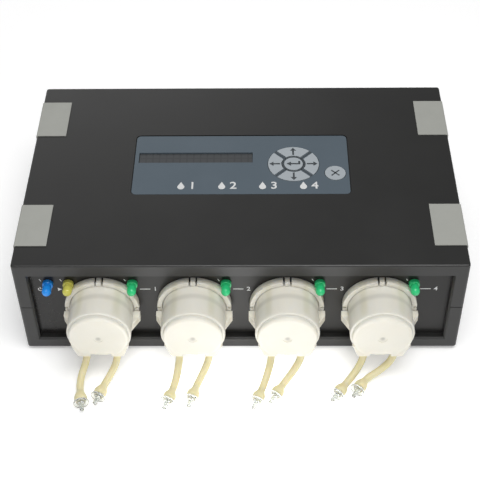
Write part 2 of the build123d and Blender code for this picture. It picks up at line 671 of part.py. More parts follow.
def connector(points):
    """The clear hose connector at a tail's end: a disc, a tip and the bore through them."""
    along = (points[-1] - points[-2]).normalized()
    fitting = Cylinder(CONNECTOR_DISC_RADIUS, CONNECTOR_DISC_THICKNESS, align=(Align.CENTER, Align.CENTER, Align.MIN))
    fitting = fillet(fitting.edges(), 0.3)
    tip_top = CONNECTOR_DISC_THICKNESS + CONNECTOR_TIP_LENGTH
    fitting += rod_z(CONNECTOR_TIP_RADIUS, (CONNECTOR_DISC_THICKNESS, tip_top))
    nose = Cone(CONNECTOR_TIP_RADIUS, CONNECTOR_NOSE_RADIUS, CONNECTOR_NOSE_LENGTH)
    fitting += Pos(0, 0, tip_top + CONNECTOR_NOSE_LENGTH / 2) * nose
    fitting -= rod_z(CONNECTOR_LUMEN, (-1, tip_top + 1))
    return Plane(origin=points[-1], z_dir=along).location * fitting


def save_case():
    """Writes the case, its panels and everything fixed inside it."""
    case = whole_case()
    save(top_shell(case), "top_shell")
    save(bottom_shell(case), "bottom_shell")
    save(front_panel(), "front_panel")
    save(rear_panel(), "rear_panel")
    save(corner_pads(), "corner_pads")
    save(rubber_feet(), "rubber_feet")
    save(case_screws(), "case_screws")
    save(keypad_overlay(), "keypad_overlay")
    save(lcd_module(), "lcd_module")
    save(keypad_board(), "keypad_board")
    save(control_board(), "control_board")
    save(dc_inlet(), "dc_inlet")
    for node, places in led_places().items():
        save(Compound([led(x) for x in places]), node)
    for node, (stem, outline) in key_outlines().items():
        save(key(stem, outline), node)


def save_heads():
    """Writes the pump heads with their motors, rotors and tubes."""
    save(head_mounts(), "head_mounts")
    save(Compound([at_head(gear_motor(), x) for x in HEAD_XS]), "gear_motors")
    save(motor_screws(), "motor_screws")
    for number, (head_x, routes) in enumerate(zip(HEAD_XS, TAIL_ROUTES), start=1):
        save(at_head(head_cover(), head_x), f"head_cover_{number}")
        save(at_head(pump_tube(), head_x), f"pump_tube_{number}")
        save(at_head(rotor(), head_x), f"rotor_{number}")
        for letter, place in zip("abc", roller_places()):
            save(at_head(roller(place), head_x), f"roller_{number}_{letter}")
        fittings = []
        for side, word, steps in zip((-1, 1), ("left", "right"), routes):
            points = tail_points(head_x, side, steps)
            save(tail(points), f"tail_{number}_{word}")
            fittings.append(connector(points))
        save(Compound(fittings), f"tube_connectors_{number}")


os.makedirs("parts", exist_ok=True)
save_case()
save_heads()
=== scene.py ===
import logging
import math
from dataclasses import dataclass
from enum import Enum
from typing import Any, Optional, Sequence

import bmesh
import bpy
from mathutils import Matrix, Vector


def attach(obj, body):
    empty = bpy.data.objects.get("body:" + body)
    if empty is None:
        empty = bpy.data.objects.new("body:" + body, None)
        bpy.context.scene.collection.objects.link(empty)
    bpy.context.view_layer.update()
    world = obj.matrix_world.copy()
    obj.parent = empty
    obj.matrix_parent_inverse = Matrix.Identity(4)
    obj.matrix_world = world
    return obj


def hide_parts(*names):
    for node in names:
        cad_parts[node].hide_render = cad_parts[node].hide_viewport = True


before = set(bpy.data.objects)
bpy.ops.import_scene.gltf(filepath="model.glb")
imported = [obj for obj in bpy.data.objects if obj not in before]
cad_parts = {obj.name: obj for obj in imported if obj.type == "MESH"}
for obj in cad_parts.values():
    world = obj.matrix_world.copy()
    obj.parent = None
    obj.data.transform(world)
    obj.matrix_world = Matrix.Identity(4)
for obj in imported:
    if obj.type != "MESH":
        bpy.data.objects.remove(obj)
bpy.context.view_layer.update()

MM = 0.001
LOG = logging.getLogger("dosing_pump")

Point = tuple[float, float, float]
Flat = tuple[float, float]
Tree = bpy.types.NodeTree
Node = bpy.types.Node
Socket = bpy.types.NodeSocket
Material = bpy.types.Material
Piece = bpy.types.Object
Shape = bmesh.types.BMesh


# ---- Small helpers ----


def linear(code: str) -> tuple[float, float, float, float]:
    """Turns an sRGB hex colour into the linear colour that a shader takes.

    Args:
        code: six hex digits, with or without a leading hash.

    Returns:
        Linear red, green, blue and an alpha of one.
    """
    digits = code.lstrip("#")
    values = [int(digits[i : i + 2], 16) / 255 for i in (0, 2, 4)]
    steps = [v / 12.92 if v <= 0.04045 else ((v + 0.055) / 1.055) ** 2.4 for v in values]
    return (steps[0], steps[1], steps[2], 1.0)


def add_node(tree: Tree, kind: str, settings: Optional[dict[str, Any]] = None,
             inputs: Optional[dict[Any, Any]] = None) -> Node:
    """Adds one node to a tree, with its settings and what its inputs hold.

    Args:
        tree: the shader or geometry tree.
        kind: the node's type name.
        settings: properties of the node itself.
        inputs: a value or another node's output, for each input by name or number.

    Returns:
        The new node.
    """
    node = tree.nodes.new(kind)
    for key, value in (settings or {}).items():
        setattr(node, key, value)
    for key, value in (inputs or {}).items():
        if isinstance(value, Socket):
            tree.links.new(value, node.inputs[key])
        else:
            node.inputs[key].default_value = value
    return node


def linked(name: str, data: Any) -> Piece:
    """Puts new data in the scene as an object at the origin."""
    item = bpy.data.objects.new(name, data)
    bpy.context.scene.collection.objects.link(item)
    return item


def mesh_piece(name: str, made: Shape, finish: Material,
               smooth_deg: float = 35.0) -> Piece:
    """Turns a bmesh into a piece with its material and smooth shading.

    Args:
        name: the piece's name.
        made: the shape, which is freed.
        finish: its material.
        smooth_deg: edges sharper than this stay sharp.

    Returns:
        The piece.
    """
    bmesh.ops.remove_doubles(made, verts=made.verts, dist=1e-7)
    bmesh.ops.recalc_face_normals(made, faces=made.faces)
    limit = math.radians(smooth_deg)
    for face in made.faces:
        face.smooth = True
    for edge in made.edges:
        edge.smooth = len(edge.link_faces) == 2 and edge.calc_face_angle(0.0) < limit
    mesh = bpy.data.meshes.new(name)
    made.to_mesh(mesh)
    made.free()
    mesh.materials.append(finish)
    return linked(name, mesh)


def placed(piece: Piece, body: str, slot: str, *nodes: str) -> Piece:
    """Lets a piece ride on a body and hides the CAD nodes that it stands for.

    Args:
        piece: the finished piece.
        body: the CAD body it moves with.
        slot: the record's material slot; not used.
        nodes: CAD nodes that it replaces.

    Returns:
        The piece.
    """
    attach(piece, body)
    if nodes:
        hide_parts(*nodes)
    LOG.info("%s rides on %s", piece.name, body)
    return piece


def turned(profile: Sequence[Flat], segments: int = 48) -> Shape:
    """Turns a closed outline about the Z axis.

    Args:
        profile: radius and height of each corner in turn, in metres.
        segments: how many steps make the full turn.

    Returns:
        A closed shape.
    """
    made = bmesh.new()
    rings = []
    for step in range(segments):
        angle = 2 * math.pi * step / segments
        c, s = math.cos(angle), math.sin(angle)
        rings.append([made.verts.new((r * c, r * s, z)) for r, z in profile])
    count = len(profile)
    for step in range(segments):
        here, there = rings[step], rings[(step + 1) % segments]
        for i in range(count):
            j = (i + 1) % count
            made.faces.new((here[i], there[i], there[j], here[j]))
    bmesh.ops.remove_doubles(made, verts=made.verts, dist=1e-8)
    bmesh.ops.dissolve_degenerate(made, edges=made.edges, dist=1e-8)
    return made


def arc(centre: Flat, radius: float, start_deg: float, end_deg: float, steps: int = 6) -> list[Flat]:
    """Points along a round corner of an outline."""
    points = []
    for i in range(steps + 1):
        angle = math.radians(start_deg + (end_deg - start_deg) * i / steps)
        points.append((centre[0] + radius * math.cos(angle), centre[1] + radius * math.sin(angle)))
    return points


def pointing(origin: Vector, along: Vector) -> Matrix:
    """A place whose Z axis points along a direction."""
    turn = along.to_track_quat("Z", "Y").to_matrix().to_4x4()
    return Matrix.Translation(origin) @ turn


def raised(outlines: Sequence[Sequence[Flat]], height: float) -> Shape:
    """Thin solid shapes that stand on the XY plane.

    Args:
        outlines: the corners of each shape, in metres.
        height: how far they stand up.

    Returns:
        One bmesh with all of them.
    """
    made = bmesh.new()
    for outline in outlines:
        low = [made.verts.new((x, y, 0.0)) for x, y in outline]
        high = [made.verts.new((x, y, height)) for x, y in outline]
        made.faces.new(low[::-1])
        made.faces.new(high)
        for i in range(len(outline)):
            j = (i + 1) % len(outline)
            made.faces.new((low[i], low[j], high[j], high[i]))
    return made


def joined(parts: Sequence[Shape]) -> Shape:
    """Puts several bmeshes together in the first one."""
    whole = parts[0]
    for part in parts[1:]:
        carrier = bpy.data.meshes.new("carrier")
        part.to_mesh(carrier)
        part.free()
        whole.from_mesh(carrier)
        bpy.data.meshes.remove(carrier)
    return whole


def node_result(name: str, source: bpy.types.ID, tree: Tree,
                sizes: dict[str, Any]) -> Piece:
    """Runs a Geometry Nodes tree once and keeps what it makes as a plain mesh.

    Args:
        name: the new piece's name.
        source: the mesh or curve that the tree starts from.
        tree: the tree, whose inputs are named.
        sizes: the value of each named input.

    Returns:
        A piece with no modifier.
    """
    carrier = bpy.data.objects.new(name + "_carrier", source)
    modifier = carrier.modifiers.new("nodes", "NODES")
    modifier.node_group = tree
    for item in tree.interface.items_tree:
        if item.item_type == "SOCKET" and item.in_out == "INPUT" and item.name in sizes:
            modifier[item.identifier] = sizes[item.name]
    bpy.context.scene.collection.objects.link(carrier)
    bpy.context.view_layer.update()
    seen = carrier.evaluated_get(bpy.context.evaluated_depsgraph_get())
    mesh = bpy.data.meshes.new_from_object(seen)
    mesh.name = name
    bpy.data.objects.remove(carrier)
    return linked(name, mesh)


def new_geometry_tree(name: str, sizes: dict[str, tuple[str, Any]]
                      ) -> tuple[Tree, Node, Node]:
    """Starts a Geometry Nodes tree with its named inputs.

    Args:
        name: the tree's name.
        sizes: for each input, its socket type and its usual value.

    Returns:
        The tree, its input node and its output node.
    """
    tree = bpy.data.node_groups.new(name, "GeometryNodeTree")
    tree.interface.new_socket("Geometry", in_out="INPUT", socket_type="NodeSocketGeometry")
    for label, (kind, value) in sizes.items():
        socket = tree.interface.new_socket(label, in_out="INPUT", socket_type=kind)
        if value is not None:
            socket.default_value = value
    tree.interface.new_socket("Geometry", in_out="OUTPUT", socket_type="NodeSocketGeometry")
    return tree, add_node(tree, "NodeGroupInput"), add_node(tree, "NodeGroupOutput")


def close_tree(tree: Tree, output: Node, shape: Socket,
               finish: Material) -> None:
    """Ends a Geometry Nodes tree in real geometry with its material."""
    real = add_node(tree, "GeometryNodeRealizeInstances", inputs={"Geometry": shape})
    soft = add_node(tree, "GeometryNodeSetShadeSmooth", inputs={"Geometry": real.outputs["Geometry"]})
    dressed = add_node(tree, "GeometryNodeSetMaterial",
                       inputs={"Geometry": soft.outputs["Geometry"], "Material": finish})
    tree.links.new(dressed.outputs["Geometry"], output.inputs["Geometry"])


def scatter_tree(name: str, item: Piece, finish: Material) -> Tree:
    """A tree that puts one copy of an item on each point of its input.

    Args:
        name: the tree's name.
        item: the object that is repeated.
        finish: the material of the copies.

    Returns:
        The tree, with an input named Size.
    """
    tree, given, output = new_geometry_tree(name, {"Size": ("NodeSocketFloat", 1.0)})
    shape = add_node(tree, "GeometryNodeObjectInfo", inputs={"Object": item})
    copies = add_node(tree, "GeometryNodeInstanceOnPoints",
                      inputs={"Points": given.outputs["Geometry"], "Instance": shape.outputs["Geometry"],
                              "Scale": given.outputs["Size"]})
    close_tree(tree, output, copies.outputs["Instances"], finish)
    return tree


def points_mesh(name: str, places: Sequence[Point]) -> bpy.types.Mesh:
    """A mesh that holds only points."""
    mesh = bpy.data.meshes.new(name)
    mesh.from_pydata(list(places), [], [])
    return mesh


# ---- Finishes ----


@dataclass(frozen=True)
class Finish:
    """A moulded or coated surface: two close colours, an uneven gloss and a fine grain.

    Attributes:
        name: the material's plain name.
        colour: its main sRGB colour.
        second: the colour it drifts to.
        drift_mm: how wide the drifts are.
        roughness: its mean roughness.
        spread: how far the roughness varies each way.
        grain_mm: how wide the surface grain is.
        grain_height_mm: how deep the grain is.
        extra: constant values of other sockets of the shader.
    """

    name: str
    colour: str
    second: str
    drift_mm: float = 30.0
    roughness: float = 0.45
    spread: float = 0.06
    grain_mm: float = 0.8
    grain_height_mm: float = 0.01
    extra: tuple[tuple[str, Any], ...] = ()

    def colour_socket(self, tree: Tree, place: Socket,
                      drift: Socket) -> Socket:
        """The colour over the surface.

        Args:
            tree: the material's tree.
            place: the object coordinates.
            drift: a slow noise from zero to one.

        Returns:
            The socket that the shader's colour reads.
        """
        blend = add_node(tree, "ShaderNodeMix", {"data_type": "RGBA"},
                         {0: drift, 6: linear(self.colour), 7: linear(self.second)})
        return blend.outputs[2]

    def height_socket(self, tree: Tree, place: Socket) -> Socket:
        """The surface grain, as a height from zero to one."""
        grain = add_node(tree, "ShaderNodeTexNoise", None,
                         {"Vector": place, "Scale": 1 / (self.grain_mm * MM), "Detail": 3.0,
                          "Roughness": 0.55})
        return grain.outputs["Fac"]

    def glow_socket(self, tree: Tree, place: Socket) -> Optional[Socket]:
        """How brightly the surface shines by itself, where that varies over it; None where it doesn't."""
        return None

    def build(self) -> Material:
        """Makes the material.

        Returns:
            A node material that reads object coordinates.
        """
        material = bpy.data.materials.new(self.name)
        material.use_nodes = True
        tree = material.node_tree
        tree.nodes.clear()
        place = add_node(tree, "ShaderNodeTexCoord").outputs["Object"]
        drift = add_node(tree, "ShaderNodeTexNoise", None,
                         {"Vector": place, "Scale": 1 / (self.drift_mm * MM), "Detail": 4.0,
                          "Roughness": 0.6})
        gloss = add_node(tree, "ShaderNodeMapRange", None,
                         {"Value": drift.outputs["Fac"], "From Min": 0.3, "From Max": 0.7,
                          "To Min": self.roughness - self.spread, "To Max": self.roughness + self.spread})
        bump = add_node(tree, "ShaderNodeBump", None,
                        {"Height": self.height_socket(tree, place), "Distance": self.grain_height_mm * MM,
                         "Strength": 1.0})
        shader = add_node(tree, "ShaderNodeBsdfPrincipled", None,
                          {"Base Color": self.colour_socket(tree, place, drift.outputs["Fac"]),
                           "Roughness": gloss.outputs["Result"], "Normal": bump.outputs["Normal"]})
        for key, value in self.extra:
            shader.inputs[key].default_value = value
        glow = self.glow_socket(tree, place)
        if glow:
            tree.links.new(glow, shader.inputs["Emission Strength"])
        add_node(tree, "ShaderNodeOutputMaterial", None, {"Surface": shader.outputs["BSDF"]})
        return material


@dataclass(frozen=True)
class PrintedBoard(Finish):
    """A circuit board under green solder mask, with fine tracks in paler green.

    Attributes:
        track_mm: the distance between tracks.
    """

    track_mm: float = 2.4

    def colour_socket(self, tree: Tree, place: Socket,
                      drift: Socket) -> Socket:
        """Tracks that run in straight steps over the board."""
        tracks = add_node(tree, "ShaderNodeTexBrick", {"offset": 0.37, "squash": 1.6},
                          {"Vector": place, "Color1": linear(self.colour), "Color2": linear(self.colour),
                           "Mortar": linear(self.second), "Scale": 1.0, "Mortar Size": 0.35 * MM,
                           "Brick Width": 9 * self.track_mm * MM, "Row Height": self.track_mm * MM})
        return tracks.outputs["Color"]


@dataclass(frozen=True)
class RolledMetal(Finish):
    """Plated or rolled metal, whose grain runs one way.

    Attributes:
        stretch: how much longer the grain is along Y than across it.
    """

    stretch: float = 0.05

    def height_socket(self, tree: Tree, place: Socket) -> Socket:
        """A grain that is drawn out along the metal."""
        drawn = add_node(tree, "ShaderNodeMapping", None,
                         {"Vector": place, "Scale": (1.0, self.stretch, 1.0)})
        grain = add_node(tree, "ShaderNodeTexNoise", None,
                         {"Vector": drawn.outputs["Vector"], "Scale": 1 / (self.grain_mm * MM),
                          "Detail": 4.0})
        return grain.outputs["Fac"]


@dataclass(frozen=True)
class MilkyShell(Finish):
    """Milky polypropylene: where the loop of tube and the rim inside would show through it, faint shadows are
    painted into its colour.

    Attributes:
        tube_tint: the painted shadow colour where the tube stands behind the wall.
        rim_tint: the painted shadow colour where the rim stands behind the wall, and the colour of the gate
            mark.
        pitch_mm: the distance between heads.
        axis_mm: how high the heads' axes are.
        band_x_mm: how far from a head's axis the tube's upright runs are.
        band_reach_mm: how far each tube band fades out.
        shade_y_mm: where the bands start to show behind the face, and where they show in full.
        rim_y_mm: how far forward the inner rim is.
        rim_reach_mm: how far the rim's shadow fades out.
        shadow: how strong the painted tube shadows and the painted rim shadow are.
        face_y_mm: the gate mark shows only in front of this.
        gate_shadow: how strong the gate mark is.
        gate_mm: the radius of the gate mark on a head's face.
    """

    tube_tint: str = "#C6C2A2"
    rim_tint: str = "#A9A79C"
    pitch_mm: float = 50.0
    axis_mm: float = 35.0
    band_x_mm: float = 10.0
    band_reach_mm: float = 3.2
    shade_y_mm: Flat = (-84.0, -78.0)
    rim_y_mm: float = -70.5
    rim_reach_mm: float = 3.0
    shadow: float = 0.3
    face_y_mm: float = -85.0
    gate_shadow: float = 0.75
    gate_mm: float = 2.3

    def near(self, tree: Tree, value: Socket, middle: float, reach: float,
             strength: float) -> Socket:
        """A soft band round one value.

        Args:
            tree: the material's tree.
            value: what is compared.
            middle: where the band is strongest, in metres.
            reach: how far it fades out.
            strength: how strong it is there.

        Returns:
            The band's strength.
        """
        gap = add_node(tree, "ShaderNodeMath", {"operation": "SUBTRACT"}, {0: value, 1: middle})
        off = add_node(tree, "ShaderNodeMath", {"operation": "ABSOLUTE"}, {0: gap.outputs[0]})
        band = add_node(tree, "ShaderNodeMapRange", {"interpolation_type": "SMOOTHERSTEP"},
                        {"Value": off.outputs[0], "From Min": 0.0, "From Max": reach, "To Min": strength,
                         "To Max": 0.0})
        return band.outputs["Result"]

    def colour_socket(self, tree: Tree, place: Socket,
                      drift: Socket) -> Socket:
        """Pale plastic with two upright bands of painted tube shadow, a ring of painted rim shadow near the
        flange and a gate mark on the face.
        """
        base = add_node(tree, "ShaderNodeMix", {"data_type": "RGBA"},
                        {0: drift, 6: linear(self.colour), 7: linear(self.second)}).outputs[2]
        parts = add_node(tree, "ShaderNodeSeparateXYZ", None, {"Vector": place})
        half = self.pitch_mm / 2 * MM
        across = add_node(tree, "ShaderNodeMath", {"operation": "WRAP"},
                          {0: parts.outputs["X"], 1: half * 2, 2: 0.0})
        centred = add_node(tree, "ShaderNodeMath", {"operation": "SUBTRACT"}, {0: across.outputs[0], 1: half})
        side = add_node(tree, "ShaderNodeMath", {"operation": "ABSOLUTE"}, {0: centred.outputs[0]})
        band = self.near(tree, side.outputs[0], self.band_x_mm * MM,
                         self.band_reach_mm * MM, self.shadow)
        behind = add_node(tree, "ShaderNodeMapRange", {"interpolation_type": "SMOOTHERSTEP"},
                          {"Value": parts.outputs["Y"], "From Min": self.shade_y_mm[0] * MM,
                           "From Max": self.shade_y_mm[1] * MM})
        painted_tube_shadow = add_node(tree, "ShaderNodeMath", {"operation": "MULTIPLY"},
                         {0: band, 1: behind.outputs["Result"]})
        # Painted shadow of the tube loop behind the wall, in two soft upright bands.
        tube = add_node(tree, "ShaderNodeMix", {"data_type": "RGBA"},
                        {0: painted_tube_shadow.outputs[0], 6: base, 7: linear(self.tube_tint)}).outputs[2]
        # Painted shadow of the inner rim, a soft ring near the flange.
        rim = add_node(tree, "ShaderNodeMix", {"data_type": "RGBA"},
                       {0: self.near(tree, parts.outputs["Y"], self.rim_y_mm * MM, self.rim_reach_mm * MM,
                                     self.shadow),
                        6: tube, 7: linear(self.rim_tint)}).outputs[2]
        face = add_node(tree, "ShaderNodeCombineXYZ", None,
                        {"X": centred.outputs[0], "Y": parts.outputs["Z"], "Z": 0.0})
        away = add_node(tree, "ShaderNodeVectorMath", {"operation": "DISTANCE"},
                        {0: face.outputs["Vector"], 1: (0.0, self.axis_mm * MM, 0.0)})
        gate = self.near(tree, away.outputs["Value"], 0.0, self.gate_mm * MM, self.gate_shadow)
        front = add_node(tree, "ShaderNodeMath", {"operation": "LESS_THAN"},
                         {0: parts.outputs["Y"], 1: self.face_y_mm * MM})
        mark = add_node(tree, "ShaderNodeMath", {"operation": "MULTIPLY"}, {0: gate, 1: front.outputs[0]})
        return add_node(tree, "ShaderNodeMix", {"data_type": "RGBA"},
                        {0: mark.outputs[0], 6: rim, 7: linear(self.rim_tint)}).outputs[2]


@dataclass(frozen=True)
class DisplayGlass(Finish):
    """The dark face of a character display, with its two rows of cells just visible.

    Attributes:
        cell_mm: the distance from one cell to the next.
        row_mm: the distance from one row to the next.
    """

    cell_mm: float = 3.9
    row_mm: float = 4.4

    def colour_socket(self, tree: Tree, place: Socket,
                      drift: Socket) -> Socket:
        """Cells that are a shade lighter than the lines between them."""
        cells = add_node(tree, "ShaderNodeTexBrick", {"offset": 0.0},
                         {"Vector": place, "Color1": linear(self.second), "Color2": linear(self.second),
                          "Mortar": linear(self.colour), "Scale": 1.0, "Mortar Size": 0.5 * MM,
                          "Mortar Smooth": 0.2, "Brick Width": self.cell_mm * MM,
                          "Row Height": self.row_mm * MM})
        return cells.outputs["Color"]


@dataclass(frozen=True)
class OpalTable(Finish):
    """Opal acrylic over a lamp, brightest above the lamp.

    Attributes:
        lamp_y_mm: how far back the lamp below the table is.
        reach_mm: how far from it the glow fades out.
        hot: the glow above the lamp.
        cool: the glow far from it.
    """

    lamp_y_mm: float = -140.0
    reach_mm: float = 115.0
    hot: float = 1.8
    cool: float = 0.25

    def glow_socket(self, tree: Tree, place: Socket) -> Optional[Socket]:
        """A soft round glow."""
        away = add_node(tree, "ShaderNodeVectorMath", {"operation": "DISTANCE"},
                        {0: place, 1: (0.0, self.lamp_y_mm * MM, 0.0)})
        fade = add_node(tree, "ShaderNodeMapRange", {"interpolation_type": "SMOOTHSTEP"},
                        {"Value": away.outputs["Value"], "From Min": 0.0, "From Max": self.reach_mm * MM,
                         "To Min": self.hot, "To Max": self.cool})
        return fade.outputs["Result"]


def lamp_epoxy(name: str, colour: str, second: str) -> Finish:
    """The dyed epoxy of one colour of lamp."""
    return Finish(name, colour, second, 2.5, 0.12, 0.03, 1.0, 0.006,
                  (("Transmission Weight", 0.12), ("IOR", 1.53)))


class Palette:
    """Every finish of the pump, each made once."""

    # ABS moulded in a spark-eroded tool: black with a fine even grain that scatters its gloss.
    case_abs = Finish("moulded_black_abs", "#131312", "#181817", 45.0, 0.40, 0.04, 0.7, 0.012,
                      (("Specular IOR Level", 0.64),))
    # The same ABS sheet under a thin satin lacquer, which mirrors the pale heads only dimly.
    panel_lacquer = Finish("lacquered_black_panel", "#171615", "#1C1B1A", 40.0, 0.30, 0.05, 0.5, 0.003,
                           (("Specular IOR Level", 0.40),))
    # Soft grey PVC pads: matt, slightly dusty, with a moulded grain.
    pad_pvc = Finish("moulded_grey_pvc", "#A3A49E", "#9B9C96", 9.0, 0.55, 0.06, 0.6, 0.03)
    # Black rubber, moulded: matt with a powdery surface.
    foot_rubber = Finish("moulded_black_rubber", "#1E1E1E", "#262626", 4.0, 0.78, 0.05, 0.5, 0.04)
    # Polyester film printed from behind, so its blue-grey ink lies under a clear glossy face.
    overlay_film = Finish("printed_polyester_film", "#4F5B64", "#54606A", 30.0, 0.24, 0.03, 1.5, 0.004,
                          (("Coat Weight", 0.15), ("Coat Roughness", 0.08)))
    # The same film with silver-grey ink, embossed over the switch domes.
    key_film = Finish("embossed_silver_film", "#A6ADB2", "#9FA6AB", 7.0, 0.33, 0.04, 0.9, 0.006,
                      (("Coat Weight", 0.3), ("Coat Roughness", 0.15)))
    # Screen-printed ink: dark on the keys, white on the panel and the film; thin and slightly matt. The white
    # is also used to paint a small glint beside each lamp.
    dark_ink = Finish("dark_screen_ink", "#32383C", "#3A4044", 3.0, 0.5, 0.05, 0.2, 0.002)
    white_ink = Finish("white_screen_ink", "#D9DADA", "#CFD0D0", 3.0, 0.5, 0.05, 0.2, 0.002)
    # The display's polarised glass: nearly black, with its unlit cells a shade lighter.
    display_glass = DisplayGlass("display_glass", "#3D3F41", "#434547", 20.0, 0.2, 0.02, 2.0, 0.001,
                                 (("Coat Weight", 0.2), ("Coat Roughness", 0.05)))
    # Polypropylene, injection moulded: milky, waxy, with light spreading a few millimetres inside it; faint
    # shadows of the tube and the inner rim are painted into its colour.
    milky_pp = MilkyShell("milky_polypropylene", "#E9E5DA", "#E2DED1", 14.0, 0.38, 0.06, 1.2, 0.02,
                          (("Subsurface Weight", 0.6), ("Subsurface Radius", (1.0, 0.9, 0.75)),
                           ("Subsurface Scale", 0.004), ("IOR", 1.49)))
    # Extruded silicone that has yellowed a little: soft gloss and warm light inside the wall.
    tube_silicone = Finish("extruded_silicone", "#DCD3A8", "#E2DAB4", 5.0, 0.36, 0.06, 0.5, 0.01,
                           (("Subsurface Weight", 0.5), ("Subsurface Radius", (1.0, 0.85, 0.45)),
                            ("Subsurface Scale", 0.002), ("IOR", 1.41)))
    # Polystyrene, injection moulded clear: glassy with faint flow marks.
    clear_ps = Finish("clear_polystyrene", "#F4F6F4", "#EEF1EE", 4.0, 0.06, 0.03, 1.5, 0.01,
                      (("Transmission Weight", 0.94), ("IOR", 1.55)))
    # Cast epoxy, dyed right through: clear at the dome and deep in the body.
    blue_epoxy = lamp_epoxy("blue_epoxy", "#1E8EEC", "#2C98F4")
    yellow_epoxy = lamp_epoxy("yellow_epoxy", "#D0CB55", "#DAD66C")
    green_epoxy = lamp_epoxy("green_epoxy", "#2CCB7C", "#3CD68C")
    # Acetal, turned or moulded: opaque white with a soft slippery gloss.
    acetal = Finish("moulded_acetal", "#D6D5CC", "#CBCAC1", 6.0, 0.32, 0.05, 0.6, 0.01)
    # Deep-drawn plated steel of the motor cans, and plated screws.
    motor_steel = RolledMetal("plated_motor_steel", "#B4B5B6", "#A9AAAC", 12.0, 0.3, 0.05, 0.15, 0.004,
                              (("Metallic", 1.0),))
    screw_steel = RolledMetal("zinc_plated_screw", "#A8A9AA", "#9C9D9F", 3.0, 0.32, 0.06, 0.1, 0.006,
                              (("Metallic", 1.0),), 0.6)
    # Fibre-glass board under green solder mask.
    circuit_board = PrintedBoard("green_circuit_board", "#1F5A33", "#2F7A48", 12.0, 0.35, 0.05, 0.4, 0.01)
    # Black nylon of the power inlet.
    inlet_nylon = Finish("moulded_black_nylon", "#1D1D1D", "#232323", 5.0, 0.5, 0.05, 0.4, 0.02)
    # Matt opal acrylic over a lamp, as a studio table is.
    table = OpalTable("opal_table", "#F6F6F6", "#F4F4F4", 400.0, 0.7, 0.02, 5.0, 0.0,
                      (("Emission Color", (1.0, 1.0, 1.0, 1.0)),))

    def __init__(self) -> None:
        """Starts with no material made."""
        self.made: dict[str, Material] = {}

    def get(self, finish: Finish) -> Material:
        """Gives a finish's material, made the first time it is asked for."""
        if finish.name not in self.made:
            self.made[finish.name] = finish.build()
        return self.made[finish.name]

    def dress(self, finish: Finish, *nodes: str) -> None:
        """Gives CAD nodes a finish, whatever slots their meshes have."""
        for name in nodes:
            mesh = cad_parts[name].data
            mesh.materials.clear()
            mesh.materials.append(self.get(finish))
            LOG.info("%s is finished in %s", name, finish.name)


@dataclass
class Section:
    """One part of the scene, dressed from the palette.

    Attributes:
        palette: the finishes.
    """

    palette: Palette


# ---- Stage ----


@dataclass
class Stage(Section):
    """The table, the studio light and the camera.

    Attributes:
        camera_place: where the camera stands, in metres.
        heading_deg: how far it looks to the left of straight ahead.
        tilt_deg: how far it looks down.
        roll_deg: how far it is turned about its own axis.
        lens_mm: its focal length on a sensor 36 mm wide.
        table_m: how wide the table is.
        room_glow: how bright the room's own light is.
    """

    camera_place: Point = (0.0104, -0.4689, 0.4983)
    heading_deg: float = -1.41
    tilt_deg: float = 45.42
    roll_deg: float = -1.13
    lens_mm: float = 85.3
    table_m: float = 6.0
    room_glow: float = 0.31

    def camera(self) -> Piece:
        """Sets the camera."""
        data = bpy.data.cameras.new("studio_camera")
        data.lens = self.lens_mm
        data.sensor_width = 36.0
        data.clip_start = 0.02
        data.clip_end = 20.0
        item = linked("studio_camera", data)
        heading, tilt, roll = (math.radians(v) for v in (self.heading_deg, self.tilt_deg, self.roll_deg))
        ahead = Vector((math.sin(heading) * math.cos(tilt), math.cos(heading) * math.cos(tilt),
                        -math.sin(tilt)))
        level = ahead.cross(Vector((0, 0, 1))).normalized()
        upright = level.cross(ahead)
        right = math.cos(roll) * level + math.sin(roll) * upright
        up = -math.sin(roll) * level + math.cos(roll) * upright
        turn = Matrix((right, up, -ahead)).transposed().to_4x4()
        item.matrix_world = Matrix.Translation(self.camera_place) @ turn
        bpy.context.scene.camera = item
        return item

    def table(self) -> Piece:
        """Lays the pale table."""
        made = bmesh.new()
        bmesh.ops.create_grid(made, x_segments=2, y_segments=2, size=self.table_m / 2)
        piece = mesh_piece("table", made, self.palette.get(self.palette.table))
        piece.location.z = -0.05 * MM
        return piece

    def lamp(self, name: str, place: Point, aim: Point, size: Flat, power: float) -> None:
        """Hangs one soft rectangular light.

        Args:
            name: its name.
            place: where it hangs.
            aim: what it points at.
            size: its width and height.
            power: its power in watts.
        """
        data = bpy.data.lights.new(name, "AREA")
        data.shape = "RECTANGLE"
        data.size, data.size_y = size
        data.energy = power
        item = linked(name, data)
        along = Vector(aim) - Vector(place)
        item.matrix_world = Matrix.Translation(place) @ along.to_track_quat("-Z", "Y").to_matrix().to_4x4()

    def light(self) -> None:
        """Hangs the lights and sets the room's own pale light."""
        world = bpy.data.worlds.new("studio")
        world.use_nodes = True
        world.node_tree.nodes.clear()
        glow = add_node(world.node_tree, "ShaderNodeBackground", None,
                        {"Color": (1.0, 1.0, 1.0, 1.0), "Strength": self.room_glow})
        add_node(world.node_tree, "ShaderNodeOutputWorld", None, {"Surface": glow.outputs["Background"]})
        bpy.context.scene.world = world
        self.lamp("softbox_back", (-0.35, 1.0, 0.55), (0.0, 0.08, 0.06), (0.9, 0.4), 1.5)
        self.lamp("softbox_above", (0.15, -0.30, 1.2), (0.0, -0.05, 0.0), (0.7, 0.7), 9.0)
        self.lamp("strip_by_camera", (0.0, -0.60, 0.66), (0.0, -0.06, 0.06), (0.55, 0.04), 0.8)
        self.lamp("softbox_front", (0.0, -0.36, 0.11), (0.0, -0.06, 0.03), (0.26, 0.12), 0.08)
        bpy.context.scene.view_settings.view_transform = "Standard"
        bpy.context.scene.view_settings.look = "None"


# ---- Tubes ----

# The heads' places along X, and where each tail starts inside its lug, in millimetres.
HEAD_XS = (-75.0, -25.0, 25.0, 75.0)
OUTLET_X = 8.2
OUTLET_Y = -80.0
TAIL_TOP = 21.0

